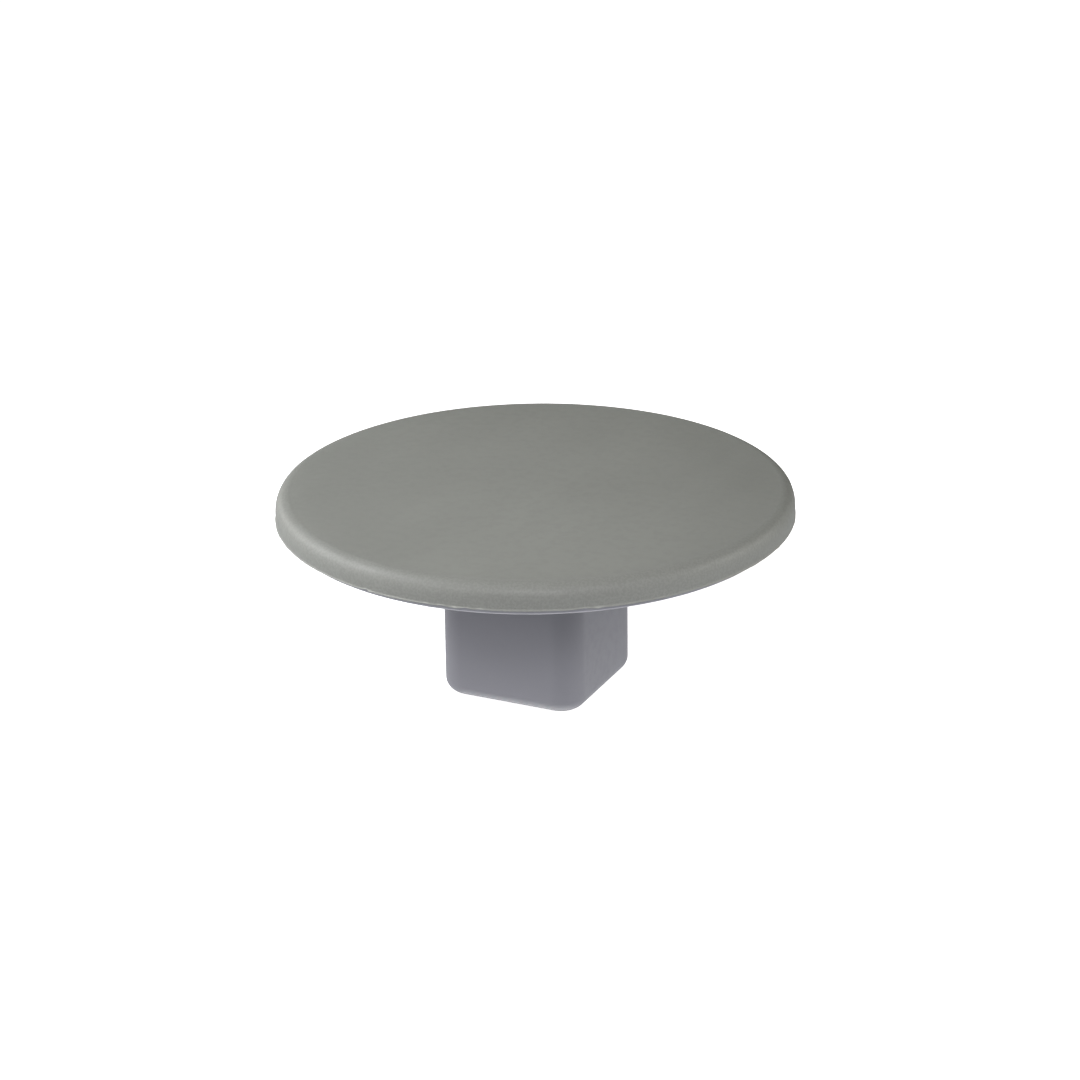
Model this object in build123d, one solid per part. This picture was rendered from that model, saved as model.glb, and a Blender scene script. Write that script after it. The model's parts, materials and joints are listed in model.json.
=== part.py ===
"""Cover for a square ground socket: a round two-part moulded disc with a square plug under it.

Lengths are in millimetres and +Z is up. The origin is on the plug's axis, in the plane of the disc's flat
underside, which is ground level when the cover sits in its socket. The plug's flat sides face along X and Y.

From the top down, the pieces are the cover cap with its ribs and threaded inserts, the cord seal, the clamp
frame, the plug with its flange, the base plate and the seat gasket. Two sets of countersunk screws go in from
below: the cap screws hold the base plate to the cap, and the flange screws hold the plug to the base plate.
"""

from build123d import *
import os
from math import asin, cos, degrees, radians, sin, sqrt

# Driving dimensions
COVER_DIAMETER = 240.0
PLUG_WIDTH = 70.6
PLUG_DEPTH = 82.2

# Cover cap: the top moulding, a shallow round shell with a soft shoulder
CAP_RADIUS = COVER_DIAMETER / 2
CAP_HEIGHT = 11.6
CAP_WALL = 3.0
CAP_INNER_CORNER = 2.0
CROWN = 0.6
SHOULDER_WIDTH = 7.2
SHOULDER_HEIGHT = 8.0
SHOULDER_FULLNESS = 0.67
FLASH_PROUD = 0.4
FLASH_DEPTH = 0.5

# Ribs, bosses and threaded inserts under the cap
RIB_THICKNESS = 2.2
RIB_RING_GAP = 2.5
RIB_RUNNING_GAP = 0.5
SPOKES = 8
LOCATING_RIBS = 3
LOCATING_REACH = 4.5
BOSS_RADIUS = 5.6
INSERT_RADIUS = 3.2
INSERT_END_GAP = 0.3

# Base plate: the lower moulding, whose rim shows as a lip under the cap's edge
BASE_LIP = 3.1
BASE_INSET = 3.4
BASE_THICKNESS = 4.5
BASE_EDGE_RADIUS = 1.0
SPIGOT_WIDTH = 3.0
SPIGOT_HEIGHT = 4.4

# Square plug: a deep cup that hangs by its flange from the base plate
PLUG_CORNER = 12.5
PLUG_WALL = 4.0
PLUG_FOOT_FILLET = 6.8
NECK_STEP = 0.2
WINDOW_GAP = 0.3
FLANGE_MARGIN = 15.0
FLANGE_CORNER = 12.0
FLANGE_THICKNESS = 3.0
FRAME_THICKNESS = 2.5

# Screws: M5 countersunk with a hexagon socket, heads just below the surface
SCREW_RADIUS = 2.5
SCREW_GAP = 0.25
HEAD_RADIUS = 4.6
HEAD_HEIGHT = 2.4
HEAD_SUNK = 0.1
TIP_CHAMFER = 0.6
HEX_WIDTH = 3.0
HEX_DEPTH = 1.8
CAP_SCREWS = 8
CAP_SCREW_CIRCLE = 98.0
CAP_SCREW_END_GAP = 0.8
FLANGE_SCREW_MARGIN = 8.5
FLANGE_SCREW_PROUD = 0.4

# Seals: a round cord inside the rim, and a flat ring that stands out of a groove under the disc
CORD_SEAL_SPACE = 4.0
CORD_SEAL_GAP = 0.05
GASKET_INNER = 74.0
GASKET_OUTER = 84.0
GASKET_THICKNESS = 2.5
GASKET_EDGE = 0.5
GROOVE_DEPTH = 1.5
GROOVE_GAP = 0.4

# Levels and radii worked out from the sizes above
CAP_EDGE_Z = BASE_LIP
CAP_TOP_Z = CAP_EDGE_Z + CAP_HEIGHT
CEILING_Z = CAP_TOP_Z - CAP_WALL
FLANGE_TOP_Z = BASE_THICKNESS + FLANGE_THICKNESS
FRAME_TOP_Z = FLANGE_TOP_Z + FRAME_THICKNESS
SPIGOT_TOP_Z = BASE_THICKNESS + SPIGOT_HEIGHT
BASE_RADIUS = CAP_RADIUS - BASE_INSET
SKIRT_INNER = CAP_RADIUS - CAP_WALL
SPIGOT_OUTER = SKIRT_INNER - CORD_SEAL_SPACE
SPIGOT_INNER = SPIGOT_OUTER - SPIGOT_WIDTH
BORE_WIDTH = PLUG_WIDTH - 2 * PLUG_WALL
BORE_CORNER = PLUG_CORNER - PLUG_WALL
FLANGE_WIDTH = PLUG_WIDTH + 2 * FLANGE_MARGIN
FLANGE_REACH = sqrt(2) * (FLANGE_WIDTH / 2 - FLANGE_CORNER) + FLANGE_CORNER
RIB_RING_RADIUS = FLANGE_REACH + RIB_RING_GAP

# Where the two sets of screws stand: the cap screws on a circle, the flange screws at a square's corners
CAP_SCREW_ANGLES = [radians(360 / CAP_SCREWS * (i + 0.5)) for i in range(CAP_SCREWS)]
CAP_SCREW_PLACES = [(CAP_SCREW_CIRCLE * cos(a), CAP_SCREW_CIRCLE * sin(a)) for a in CAP_SCREW_ANGLES]
FLANGE_SCREW_OFFSET = FLANGE_WIDTH / 2 - FLANGE_SCREW_MARGIN
FLANGE_SCREW_PLACES = [(x * FLANGE_SCREW_OFFSET, y * FLANGE_SCREW_OFFSET) for x in (-1, 1) for y in (-1, 1)]

UPRIGHT = (Align.CENTER, Align.CENTER, Align.MIN)


def cylinder(radius, bottom, top, place=(0, 0)):
    """An upright cylinder between two levels."""
    return Pos(*place, bottom) * Cylinder(radius, top - bottom, align=UPRIGHT)


def cone(bottom_radius, top_radius, bottom, height, place):
    """An upright truncated cone that stands on a level."""
    return Pos(*place, bottom) * Cone(bottom_radius, top_radius, height, align=UPRIGHT)


def ring(inner, outer, bottom, top):
    """An upright ring between two levels."""
    return cylinder(outer, bottom, top) - cylinder(inner, bottom, top)


def square_block(width, corner, bottom, top):
    """A square block with round upright corners, between two levels."""
    return extrude(Pos(0, 0, bottom) * RectangleRounded(width, width, corner), top - bottom)


def upright_box(start_x, end_x, start_y, end_y, bottom, top):
    """A plain box between two corners in plan and two levels."""
    middle = ((start_x + end_x) / 2, (start_y + end_y) / 2)
    return Pos(*middle, bottom) * Box(end_x - start_x, end_y - start_y, top - bottom, align=UPRIGHT)


def screw(place, tip_z):
    """One countersunk screw, head down, that reaches up to a level."""
    head = cone(HEAD_RADIUS, SCREW_RADIUS, HEAD_SUNK, HEAD_HEIGHT, place)
    body = head + cylinder(SCREW_RADIUS, HEAD_SUNK + HEAD_HEIGHT, tip_z, place)
    body = chamfer(body.edges().filter_by(GeomType.CIRCLE).sort_by(Axis.Z)[-1], TIP_CHAMFER)
    hexagon = RegularPolygon(HEX_WIDTH / 2, 6, major_radius=False)
    return body - extrude(Pos(*place, HEAD_SUNK) * hexagon, HEX_DEPTH)


def screw_hole(place, top):
    """The clearance hole and countersink for a screw, from the underside up to a level."""
    hole = cylinder(SCREW_RADIUS + SCREW_GAP, 0, top, place)
    return hole + cone(HEAD_RADIUS + SCREW_GAP, SCREW_RADIUS + SCREW_GAP, 0, HEAD_SUNK + HEAD_HEIGHT, place)


def cap_shell():
    """The cap's round shell: crowned top, full soft shoulder, upright skirt and moulding flash."""
    flat_radius = CAP_RADIUS - SHOULDER_WIDTH
    shoulder_z = CAP_TOP_Z - SHOULDER_HEIGHT
    crown_radius = (flat_radius**2 + CROWN**2) / (2 * CROWN)
    flash_radius = CAP_RADIUS + FLASH_PROUD
    corner_radius = SKIRT_INNER - CAP_INNER_CORNER
    corner_z = CEILING_Z - CAP_INNER_CORNER
    with BuildLine(Plane.XZ) as outline:
        Line((0, CEILING_Z), (0, CAP_TOP_Z + CROWN))
        JernArc((0, CAP_TOP_Z + CROWN), (1, 0), crown_radius, -degrees(asin(flat_radius / crown_radius)))
        Bezier(
            (flat_radius, CAP_TOP_Z),
            (flat_radius + SHOULDER_FULLNESS * SHOULDER_WIDTH, CAP_TOP_Z),
            (CAP_RADIUS, shoulder_z + SHOULDER_FULLNESS * SHOULDER_HEIGHT),
            (CAP_RADIUS, shoulder_z),
        )
        Polyline(
            (CAP_RADIUS, shoulder_z),
            (CAP_RADIUS, CAP_EDGE_Z + FLASH_DEPTH),
            (flash_radius, CAP_EDGE_Z + FLASH_DEPTH / 2),
            (flash_radius, CAP_EDGE_Z),
            (SKIRT_INNER, CAP_EDGE_Z),
            (SKIRT_INNER, corner_z),
        )
        RadiusArc((SKIRT_INNER, corner_z), (corner_radius, CEILING_Z), -CAP_INNER_CORNER)
        Line((corner_radius, CEILING_Z), (0, CEILING_Z))
    return revolve(make_face(outline.line), Axis.Z)


def cap_ribs():
    """What stands under the cap's ceiling: a ring, spokes, screw bosses and ribs that locate the plug."""
    half = RIB_THICKNESS / 2
    reach = SPIGOT_INNER - RIB_RUNNING_GAP
    ribs = ring(RIB_RING_RADIUS, RIB_RING_RADIUS + RIB_THICKNESS, BASE_THICKNESS, CEILING_Z)
    spoke = upright_box(RIB_RING_RADIUS + half, reach, -half, half, BASE_THICKNESS, CEILING_Z)
    spoke += upright_box(reach, SKIRT_INNER + half, -half, half, SPIGOT_TOP_Z + RIB_RUNNING_GAP, CEILING_Z)
    for i in range(SPOKES):
        ribs += Rot(0, 0, 360 / SPOKES * i) * spoke
    span = BORE_WIDTH / 2 - WINDOW_GAP
    for i in range(LOCATING_RIBS):
        offset = (i - (LOCATING_RIBS - 1) / 2) * 2 * span / LOCATING_RIBS
        ribs += upright_box(-span, span, offset - half, offset + half, -LOCATING_REACH, CEILING_Z)
        ribs += upright_box(offset - half, offset + half, -span, span, -LOCATING_REACH, CEILING_Z)
    for place in CAP_SCREW_PLACES:
        ribs += cylinder(BOSS_RADIUS, BASE_THICKNESS, CEILING_Z, place)
        ribs -= cylinder(INSERT_RADIUS, BASE_THICKNESS, CEILING_Z, place)
    return ribs


def cover_cap():
    """The whole top moulding."""
    return cap_shell() + cap_ribs()


def cap_inserts():
    """Threaded brass sleeves in the cap's bosses, one to each cap screw."""
    bottom = BASE_THICKNESS + INSERT_END_GAP
    top = CEILING_Z - INSERT_END_GAP
    sleeve = ring(SCREW_RADIUS, INSERT_RADIUS, bottom, top)
    return Compound(children=[Pos(*place) * sleeve for place in CAP_SCREW_PLACES])


def base_plate():
    """The lower moulding: a flat disc with a square window, a spigot ring, screw holes and a groove."""
    with BuildLine(Plane.XZ) as outline:
        Polyline(
            (BASE_RADIUS - BASE_EDGE_RADIUS, 0),
            (0, 0),
            (0, BASE_THICKNESS),
            (SPIGOT_INNER, BASE_THICKNESS),
            (SPIGOT_INNER, SPIGOT_TOP_Z),
            (SPIGOT_OUTER, SPIGOT_TOP_Z),
            (SPIGOT_OUTER, BASE_THICKNESS),
            (BASE_RADIUS, BASE_THICKNESS),
            (BASE_RADIUS, BASE_EDGE_RADIUS),
        )
        RadiusArc((BASE_RADIUS, BASE_EDGE_RADIUS), (BASE_RADIUS - BASE_EDGE_RADIUS, 0), BASE_EDGE_RADIUS)
    plate = revolve(make_face(outline.line), Axis.Z)
    plate -= square_block(PLUG_WIDTH + 2 * WINDOW_GAP, PLUG_CORNER + WINDOW_GAP, 0, BASE_THICKNESS)
    plate -= ring(GASKET_INNER - GROOVE_GAP, GASKET_OUTER + GROOVE_GAP, 0, GROOVE_DEPTH)
    for place in CAP_SCREW_PLACES + FLANGE_SCREW_PLACES:
        plate -= screw_hole(place, BASE_THICKNESS)
    return plate


def plug_box():
    """The square plug: a closed-bottomed cup with round corners, a neck through the window, a flange."""
    body = square_block(PLUG_WIDTH, PLUG_CORNER, -PLUG_DEPTH, 0)
    body = fillet(body.edges().group_by(Axis.Z)[0], PLUG_FOOT_FILLET)
    neck = square_block(PLUG_WIDTH - 2 * NECK_STEP, PLUG_CORNER - NECK_STEP, 0, BASE_THICKNESS)
    flange = square_block(FLANGE_WIDTH, FLANGE_CORNER, BASE_THICKNESS, FLANGE_TOP_Z)
    bore = square_block(BORE_WIDTH, BORE_CORNER, PLUG_WALL - PLUG_DEPTH, FLANGE_TOP_Z)
    bore = fillet(bore.edges().group_by(Axis.Z)[0], PLUG_FOOT_FILLET - PLUG_WALL)
    plug = body + neck + flange - bore
    for place in FLANGE_SCREW_PLACES:
        plug -= cylinder(SCREW_RADIUS + SCREW_GAP, BASE_THICKNESS, FLANGE_TOP_Z, place)
    return plug


def clamp_frame():
    """The tapped steel frame on the plug's flange, which the flange screws pull down."""
    frame = square_block(FLANGE_WIDTH, FLANGE_CORNER, FLANGE_TOP_Z, FRAME_TOP_Z)
    frame -= square_block(BORE_WIDTH, BORE_CORNER, FLANGE_TOP_Z, FRAME_TOP_Z)
    for place in FLANGE_SCREW_PLACES:
        frame -= cylinder(SCREW_RADIUS, FLANGE_TOP_Z, FRAME_TOP_Z, place)
    return frame


def cap_screws():
    """The screws that hold the base plate up against the cap."""
    tip_z = CEILING_Z - CAP_SCREW_END_GAP
    return Compound(children=[screw(place, tip_z) for place in CAP_SCREW_PLACES])


def flange_screws():
    """The screws that pass the base plate and the plug's flange and bite in the clamp frame."""
    tip_z = FRAME_TOP_Z + FLANGE_SCREW_PROUD
    return Compound(children=[screw(place, tip_z) for place in FLANGE_SCREW_PLACES])


def cord_seal():
    """The round rubber cord in the corner between the cap's skirt, the base plate and its spigot."""
    space = CORD_SEAL_SPACE / 2
    return Pos(0, 0, BASE_THICKNESS + space) * Torus(SPIGOT_OUTER + space, space - CORD_SEAL_GAP)


def seat_gasket():
    """The flat foam ring under the disc, which stands out of its groove."""
    gasket = ring(GASKET_INNER, GASKET_OUTER, GROOVE_DEPTH - GASKET_THICKNESS, GROOVE_DEPTH)
    return fillet(gasket.edges().group_by(Axis.Z)[0], GASKET_EDGE)


PIECES = {
    "cover_cap": cover_cap,
    "cap_inserts": cap_inserts,
    "cord_seal": cord_seal,
    "base_plate": base_plate,
    "cap_screws": cap_screws,
    "plug_box": plug_box,
    "clamp_frame": clamp_frame,
    "flange_screws": flange_screws,
    "seat_gasket": seat_gasket,
}

os.makedirs("parts", exist_ok=True)
for name, make in PIECES.items():
    export_step(make(), f"parts/{name}.step")
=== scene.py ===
"""Looks of a ground socket cover: a round moulded disc with a soft shoulder on a deep square plug.

The fixed frame gives every place and outer size, in metres, with +Z up and the origin in the plane of the
disc's flat underside, on the plug's axis. The classes below make the visible mouldings, the gasket and the
screws as surfaces worked out with numpy, and give every piece a procedural finish. Lengths are in metres.
"""

import functools
import json
import logging
import math
from collections.abc import Sequence
from dataclasses import dataclass, field, replace
from enum import Enum

import bpy
import numpy as np
from mathutils import Matrix, Vector


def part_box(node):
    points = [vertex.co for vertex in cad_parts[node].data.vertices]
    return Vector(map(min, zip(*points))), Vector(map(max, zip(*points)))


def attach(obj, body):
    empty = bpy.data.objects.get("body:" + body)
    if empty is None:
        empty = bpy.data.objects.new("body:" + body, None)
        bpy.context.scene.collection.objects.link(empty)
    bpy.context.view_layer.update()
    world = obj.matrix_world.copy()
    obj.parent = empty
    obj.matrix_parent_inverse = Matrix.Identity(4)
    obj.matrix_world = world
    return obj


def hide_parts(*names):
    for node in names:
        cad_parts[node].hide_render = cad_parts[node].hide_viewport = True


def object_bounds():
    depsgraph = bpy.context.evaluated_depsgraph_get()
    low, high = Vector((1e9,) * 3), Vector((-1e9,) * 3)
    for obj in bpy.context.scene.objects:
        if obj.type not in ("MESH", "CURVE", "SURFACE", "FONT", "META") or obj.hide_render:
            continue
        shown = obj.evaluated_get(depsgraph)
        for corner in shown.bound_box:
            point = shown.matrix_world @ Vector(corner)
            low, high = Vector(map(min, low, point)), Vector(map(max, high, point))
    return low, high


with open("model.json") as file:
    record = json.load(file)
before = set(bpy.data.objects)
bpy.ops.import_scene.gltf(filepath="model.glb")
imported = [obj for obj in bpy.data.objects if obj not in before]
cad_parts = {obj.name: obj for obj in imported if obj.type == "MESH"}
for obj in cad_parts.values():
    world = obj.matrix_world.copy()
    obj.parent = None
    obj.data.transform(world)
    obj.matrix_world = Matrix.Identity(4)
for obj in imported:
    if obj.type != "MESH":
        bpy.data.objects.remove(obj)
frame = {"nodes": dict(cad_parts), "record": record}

CAD_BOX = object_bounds()
BODY = "root"
MM = 0.001
FULL_TURN = 2.0 * math.pi
SHARP_DEG = 32.0
MIX_FIRST, MIX_SECOND, MIX_RESULT = 6, 7, 2  # Colour sockets of a Mix node
CORE = 0.5 * MM  # Radius where the end of a screw or a cutter is closed by a fan
HUB = 4.0 * MM  # The same for a whole moulding

WHITE = (1.0, 1.0, 1.0, 1.0)

Point = tuple[float, float]
Places = Sequence[Point]
Colour = tuple[float, float, float]
Socket = bpy.types.NodeSocket
Feeds = dict[str | int, object]

log = logging.getLogger("socket_cover")


class Slot(Enum):
    """Names of the record's material slots, one to each kind of new piece."""

    CAP = "cap_plastic"
    BASE = "base_plastic"
    PLUG = "plug_plastic"
    SCREW = "screw_steel"
    GASKET = "gasket_foam"


class Ends(Enum):
    """How a grid's first and last rows are closed."""

    POLES = "poles"
    LOOP = "loop"


# --- Curves and waves ---


def turn_angles(count: int) -> np.ndarray:
    """Gives evenly spaced angles round one full turn, in radians."""
    return np.arange(count) * (FULL_TURN / count)


def periodic_noise(angles: np.ndarray, harmonics: Sequence[int], seed: int) -> np.ndarray:
    """Gives a smooth random wave round a full turn.

    The wave is a sum of cosines with seeded phases, one to each harmonic, scaled to unit spread.

    Args:
        angles: Angles in radians.
        harmonics: How many whole waves each cosine makes in one turn.
        seed: Seed of the phases.

    Returns:
        Values of about unit size, one to each angle.
    """
    counts = np.asarray(harmonics, float)
    phases = np.random.default_rng(seed).uniform(0.0, FULL_TURN, len(counts))
    waves = np.cos(angles[..., None] * counts + phases)
    return waves.sum(axis=-1) * math.sqrt(2.0 / len(counts))


def bell(angles: np.ndarray, centre_deg: float, width_deg: float) -> np.ndarray:
    """Gives the exponential of minus the square of the angle from a bell's centre over its width."""
    away = (angles - math.radians(centre_deg) + math.pi) % FULL_TURN - math.pi
    return np.exp(-((away / math.radians(width_deg)) ** 2))


def smooth_step(values: np.ndarray) -> np.ndarray:
    """Gives three squares less two cubes of the values, held between 0 and 1."""
    held = np.clip(values, 0.0, 1.0)
    return held * held * (3.0 - 2.0 * held)


def arc(centre: Point, radius: float, start: float, end: float, steps: int) -> np.ndarray:
    """Gives points of a circle: its centre plus the radius times the cosine and sine of angles in degrees."""
    turn = np.radians(np.linspace(start, end, steps))
    return np.stack([centre[0] + radius * np.cos(turn), centre[1] + radius * np.sin(turn)], axis=-1)


def soft_corner(start: Point, end: Point, fullness: float, steps: int) -> np.ndarray:
    """Gives points along a cubic curve that leaves its start flat and reaches its end upright.

    The curve is the cubic blend of four control points: the start, the end, and between them the start moved
    out and the end moved up, each by the fullness times the way to the corner.

    Args:
        start: Radius and height where the flat top ends.
        end: Radius and height where the upright side begins.
        fullness: Share of the way to the sharp corner that the inner control points take.
        steps: How many points, both ends included.

    Returns:
        Radii and heights, as steps by 2.
    """
    first, last = np.array(start), np.array(end)
    out, up = fullness * (last[0] - first[0]), fullness * (first[1] - last[1])
    controls = [first, first + [out, 0.0], last + [0.0, up], last]
    along = np.linspace(0.0, 1.0, steps)[:, None]
    weights = [(1 - along) ** 3, 3 * along * (1 - along) ** 2, 3 * along**2 * (1 - along), along**3]
    return sum(weight * control for weight, control in zip(weights, controls))


# --- Surfaces ---


def revolved(profile: np.ndarray, angles: np.ndarray) -> np.ndarray:
    """Carries a profile round the Z axis.

    A place is the radius times the angle's cosine and sine, at the profile's height.

    Args:
        profile: Radii and heights, as steps by 2, or as steps by angles by 2 where they change.
        angles: Angles in radians.

    Returns:
        Places, as steps by angles by 3.
    """
    grid = profile[:, None, :] if profile.ndim == 2 else profile
    radius, height = (grid[..., k] + np.zeros_like(angles) for k in range(2))
    return np.stack([radius * np.cos(angles), radius * np.sin(angles), height], axis=-1)


@dataclass(frozen=True)
class SquareOutline:
    """The plan outline of a square with round corners, laid out once and scaled to any size."""

    corner_steps: int = 16  # Points on each round corner
    side_steps: int = 14  # Points inside each straight side

    def directions(self) -> tuple[np.ndarray, np.ndarray]:
        """Gives the outline's two direction fields.

        On a corner the sign vector stays and the unit normal turns through a right angle. Along a side the
        normal stays and the sign vector runs to the next corner. Each quarter is the first one turned.

        Returns:
            Sign vectors and unit normals, each as columns by 2.
        """
        quarter = np.linspace(0.0, math.pi / 2.0, self.corner_steps)
        run = np.linspace(1.0, -1.0, self.side_steps + 2)[1:-1]
        signs = np.concatenate([np.ones((self.corner_steps, 2)), np.stack([run, np.ones_like(run)], axis=-1)])
        bend = np.stack([np.cos(quarter), np.sin(quarter)], axis=-1)
        normals = np.concatenate([bend, np.tile([0.0, 1.0], (self.side_steps, 1))])
        turn = np.array([[0.0, 1.0], [-1.0, 0.0]])
        quarters = [np.linalg.matrix_power(turn, k) for k in range(4)]
        signs, normals = (np.concatenate([part @ q for q in quarters]) for part in (signs, normals))
        return signs, normals

    def loft(self, half: np.ndarray, corner: np.ndarray, height: np.ndarray) -> np.ndarray:
        """Carries the outline through levels of changing size.

        A place is the half width less the corner radius times the sign vector, plus the corner radius times
        the normal, at the level's height.

        Args:
            half: Half the width of each level.
            corner: Corner radius of each level.
            height: Height of each level.

        Returns:
            Places, as levels by columns by 3.
        """
        signs, normals = self.directions()
        plan = (half - corner)[:, None, None] * signs + corner[:, None, None] * normals
        heights = np.broadcast_to(height[:, None, None], plan[..., :1].shape)
        return np.concatenate([plan, heights], axis=-1)


def grid_mesh(name: str, grids: Sequence[np.ndarray], ends: Ends = Ends.POLES) -> bpy.types.Mesh:
    """Makes one mesh from closed grids of places that wrap round along their columns.

    A cell is a quad whose normal is the row direction crossed with the column direction. A pole is the middle
    of the first or last row, joined to it by a fan. A loop joins the last row to the first.

    Args:
        name: The mesh's name.
        grids: Places, each as rows by columns by 3, all with the same rows and columns.
        ends: How the first and last rows are closed.

    Returns:
        The smooth-shaded mesh. Its UV map holds turns across and millimetres along the profile up.
    """
    places = np.stack(grids)
    count, rows, columns = places.shape[:3]
    index = np.arange(rows * columns).reshape(rows, columns)
    upper = index if ends is Ends.LOOP else index[:-1]
    lower = np.roll(index, -1, axis=0)[: len(upper)]
    cells = [upper, lower, np.roll(lower, -1, axis=1), np.roll(upper, -1, axis=1)]
    quads = np.stack(cells, axis=-1).reshape(-1, 4)
    lengths = np.linalg.norm(np.diff(places[0], axis=0), axis=-1).mean(axis=-1)
    along = np.repeat(np.concatenate([[0.0], np.cumsum(lengths)]) / MM, columns)
    chart = np.stack([np.tile(np.arange(columns) / columns, rows), along], axis=-1)
    vertices = places.reshape(count, -1, 3)
    fans = np.empty((0, 3), int)
    if ends is Ends.POLES:
        first, last = rows * columns, rows * columns + 1
        vertices = np.concatenate([vertices, places[:, [0, -1]].mean(axis=2)], axis=1)
        chart = np.concatenate([chart, [[0.5, along[0]], [0.5, along[-1]]]])
        start, end = index[0], index[-1]
        head = np.stack([np.full(columns, first), start, np.roll(start, -1)], axis=-1)
        tail = np.stack([np.roll(end, -1), end, np.full(columns, last)], axis=-1)
        fans = np.concatenate([head, tail])
    shifts = np.arange(count)[:, None, None] * vertices.shape[1]
    faces = (quads + shifts).reshape(-1, 4).tolist() + (fans + shifts).reshape(-1, 3).tolist()
    mesh = bpy.data.meshes.new(name)
    mesh.from_pydata(vertices.reshape(-1, 3).tolist(), [], faces)
    corners = np.empty(len(mesh.loops), np.int32)
    mesh.loops.foreach_get("vertex_index", corners)
    layer = mesh.uv_layers.new(name="profile")
    layer.data.foreach_set("uv", np.tile(chart, (count, 1))[corners].astype(np.float32).ravel())
    mesh.shade_smooth()
    return mesh


def spread(profile: np.ndarray, angles: np.ndarray) -> np.ndarray:
    """Gives a profile of steps by 2 again at every angle, as steps by angles by 2."""
    return profile[:, None, :] + np.zeros_like(angles)[:, None]


def linked(name: str, data: bpy.types.ID) -> bpy.types.Object:
    """Makes an object of some data and links it to the scene."""
    thing = bpy.data.objects.new(name, data)
    bpy.context.scene.collection.objects.link(thing)
    return thing


def formed(
    name: str, grids: Sequence[np.ndarray], ends: Ends = Ends.POLES, sharp_deg: float = SHARP_DEG
) -> bpy.types.Object:
    """Makes a piece at the origin from closed grids, whose places are its own.

    Args:
        name: The name of the object and of its mesh.
        grids: Places, as in grid_mesh.
        ends: How the first and last rows are closed.
        sharp_deg: Edges that turn by more than this many degrees are shaded sharp.

    Returns:
        The new object.
    """
    mesh = grid_mesh(name, grids, ends)
    mesh.set_sharp_from_angle(angle=math.radians(sharp_deg))
    return linked(name, mesh)


def at_places(grid: np.ndarray, places: Places) -> list[np.ndarray]:
    """Gives a copy of a grid at each plan place."""
    return [grid + [x, y, 0.0] for x, y in places]


def circle_places(count: int, radius: float, first_deg: float) -> Places:
    """Gives plan places evenly spaced on a circle, from a first angle in degrees."""
    turns = turn_angles(count) + math.radians(first_deg)
    return list(zip((radius * np.cos(turns)).tolist(), (radius * np.sin(turns)).tolist()))


def turned_cutter(profile: Sequence[Point], places: Places, steps: int) -> bpy.types.Mesh:
    """Makes like cutters at plan places: a profile from the top down, revolved, with flat ends."""
    closed = [(CORE, profile[0][1]), *profile, (CORE, profile[-1][1])]
    return grid_mesh("cutter", at_places(revolved(np.array(closed), turn_angles(steps)), places))


def carve(piece: bpy.types.Object, *cutters: bpy.types.Mesh) -> None:
    """Takes closed cutters' volumes out of a closed piece, and leaves no modifier behind.

    Args:
        piece: The piece to cut. Its mesh is replaced.
        cutters: The cutters' meshes, which are used up.
    """
    for cutter in cutters:
        tool = linked("cutter", cutter)
        modifier = piece.modifiers.new("cut", "BOOLEAN")
        modifier.operation, modifier.solver, modifier.object = "DIFFERENCE", "EXACT", tool
        whole = bpy.context.evaluated_depsgraph_get()
        result = bpy.data.meshes.new_from_object(piece.evaluated_get(whole))
        piece.modifiers.clear()
        uncut, piece.data = piece.data, result
        result.name = uncut.name
        bpy.data.objects.remove(tool)
        for used in (uncut, cutter):
            bpy.data.meshes.remove(used)
    piece.data.set_sharp_from_angle(angle=math.radians(SHARP_DEG))


def settle(piece: bpy.types.Object, slot: Slot, finish: bpy.types.Material, *stands_for: str) -> None:
    """Rides a finished piece on the body, dresses it and hides the CAD nodes that it stands for.

    Args:
        piece: The finished piece.
        slot: Not used.
        finish: Its material.
        stands_for: The CAD nodes that it replaces, if any.
    """
    piece.data.materials.clear()
    piece.data.materials.append(finish)
    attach(piece, BODY)
    if stands_for:
        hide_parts(*stands_for)
    log.info("%s: %d faces, finish %s", piece.name, len(piece.data.polygons), finish.name)


# --- Finishes ---


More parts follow.
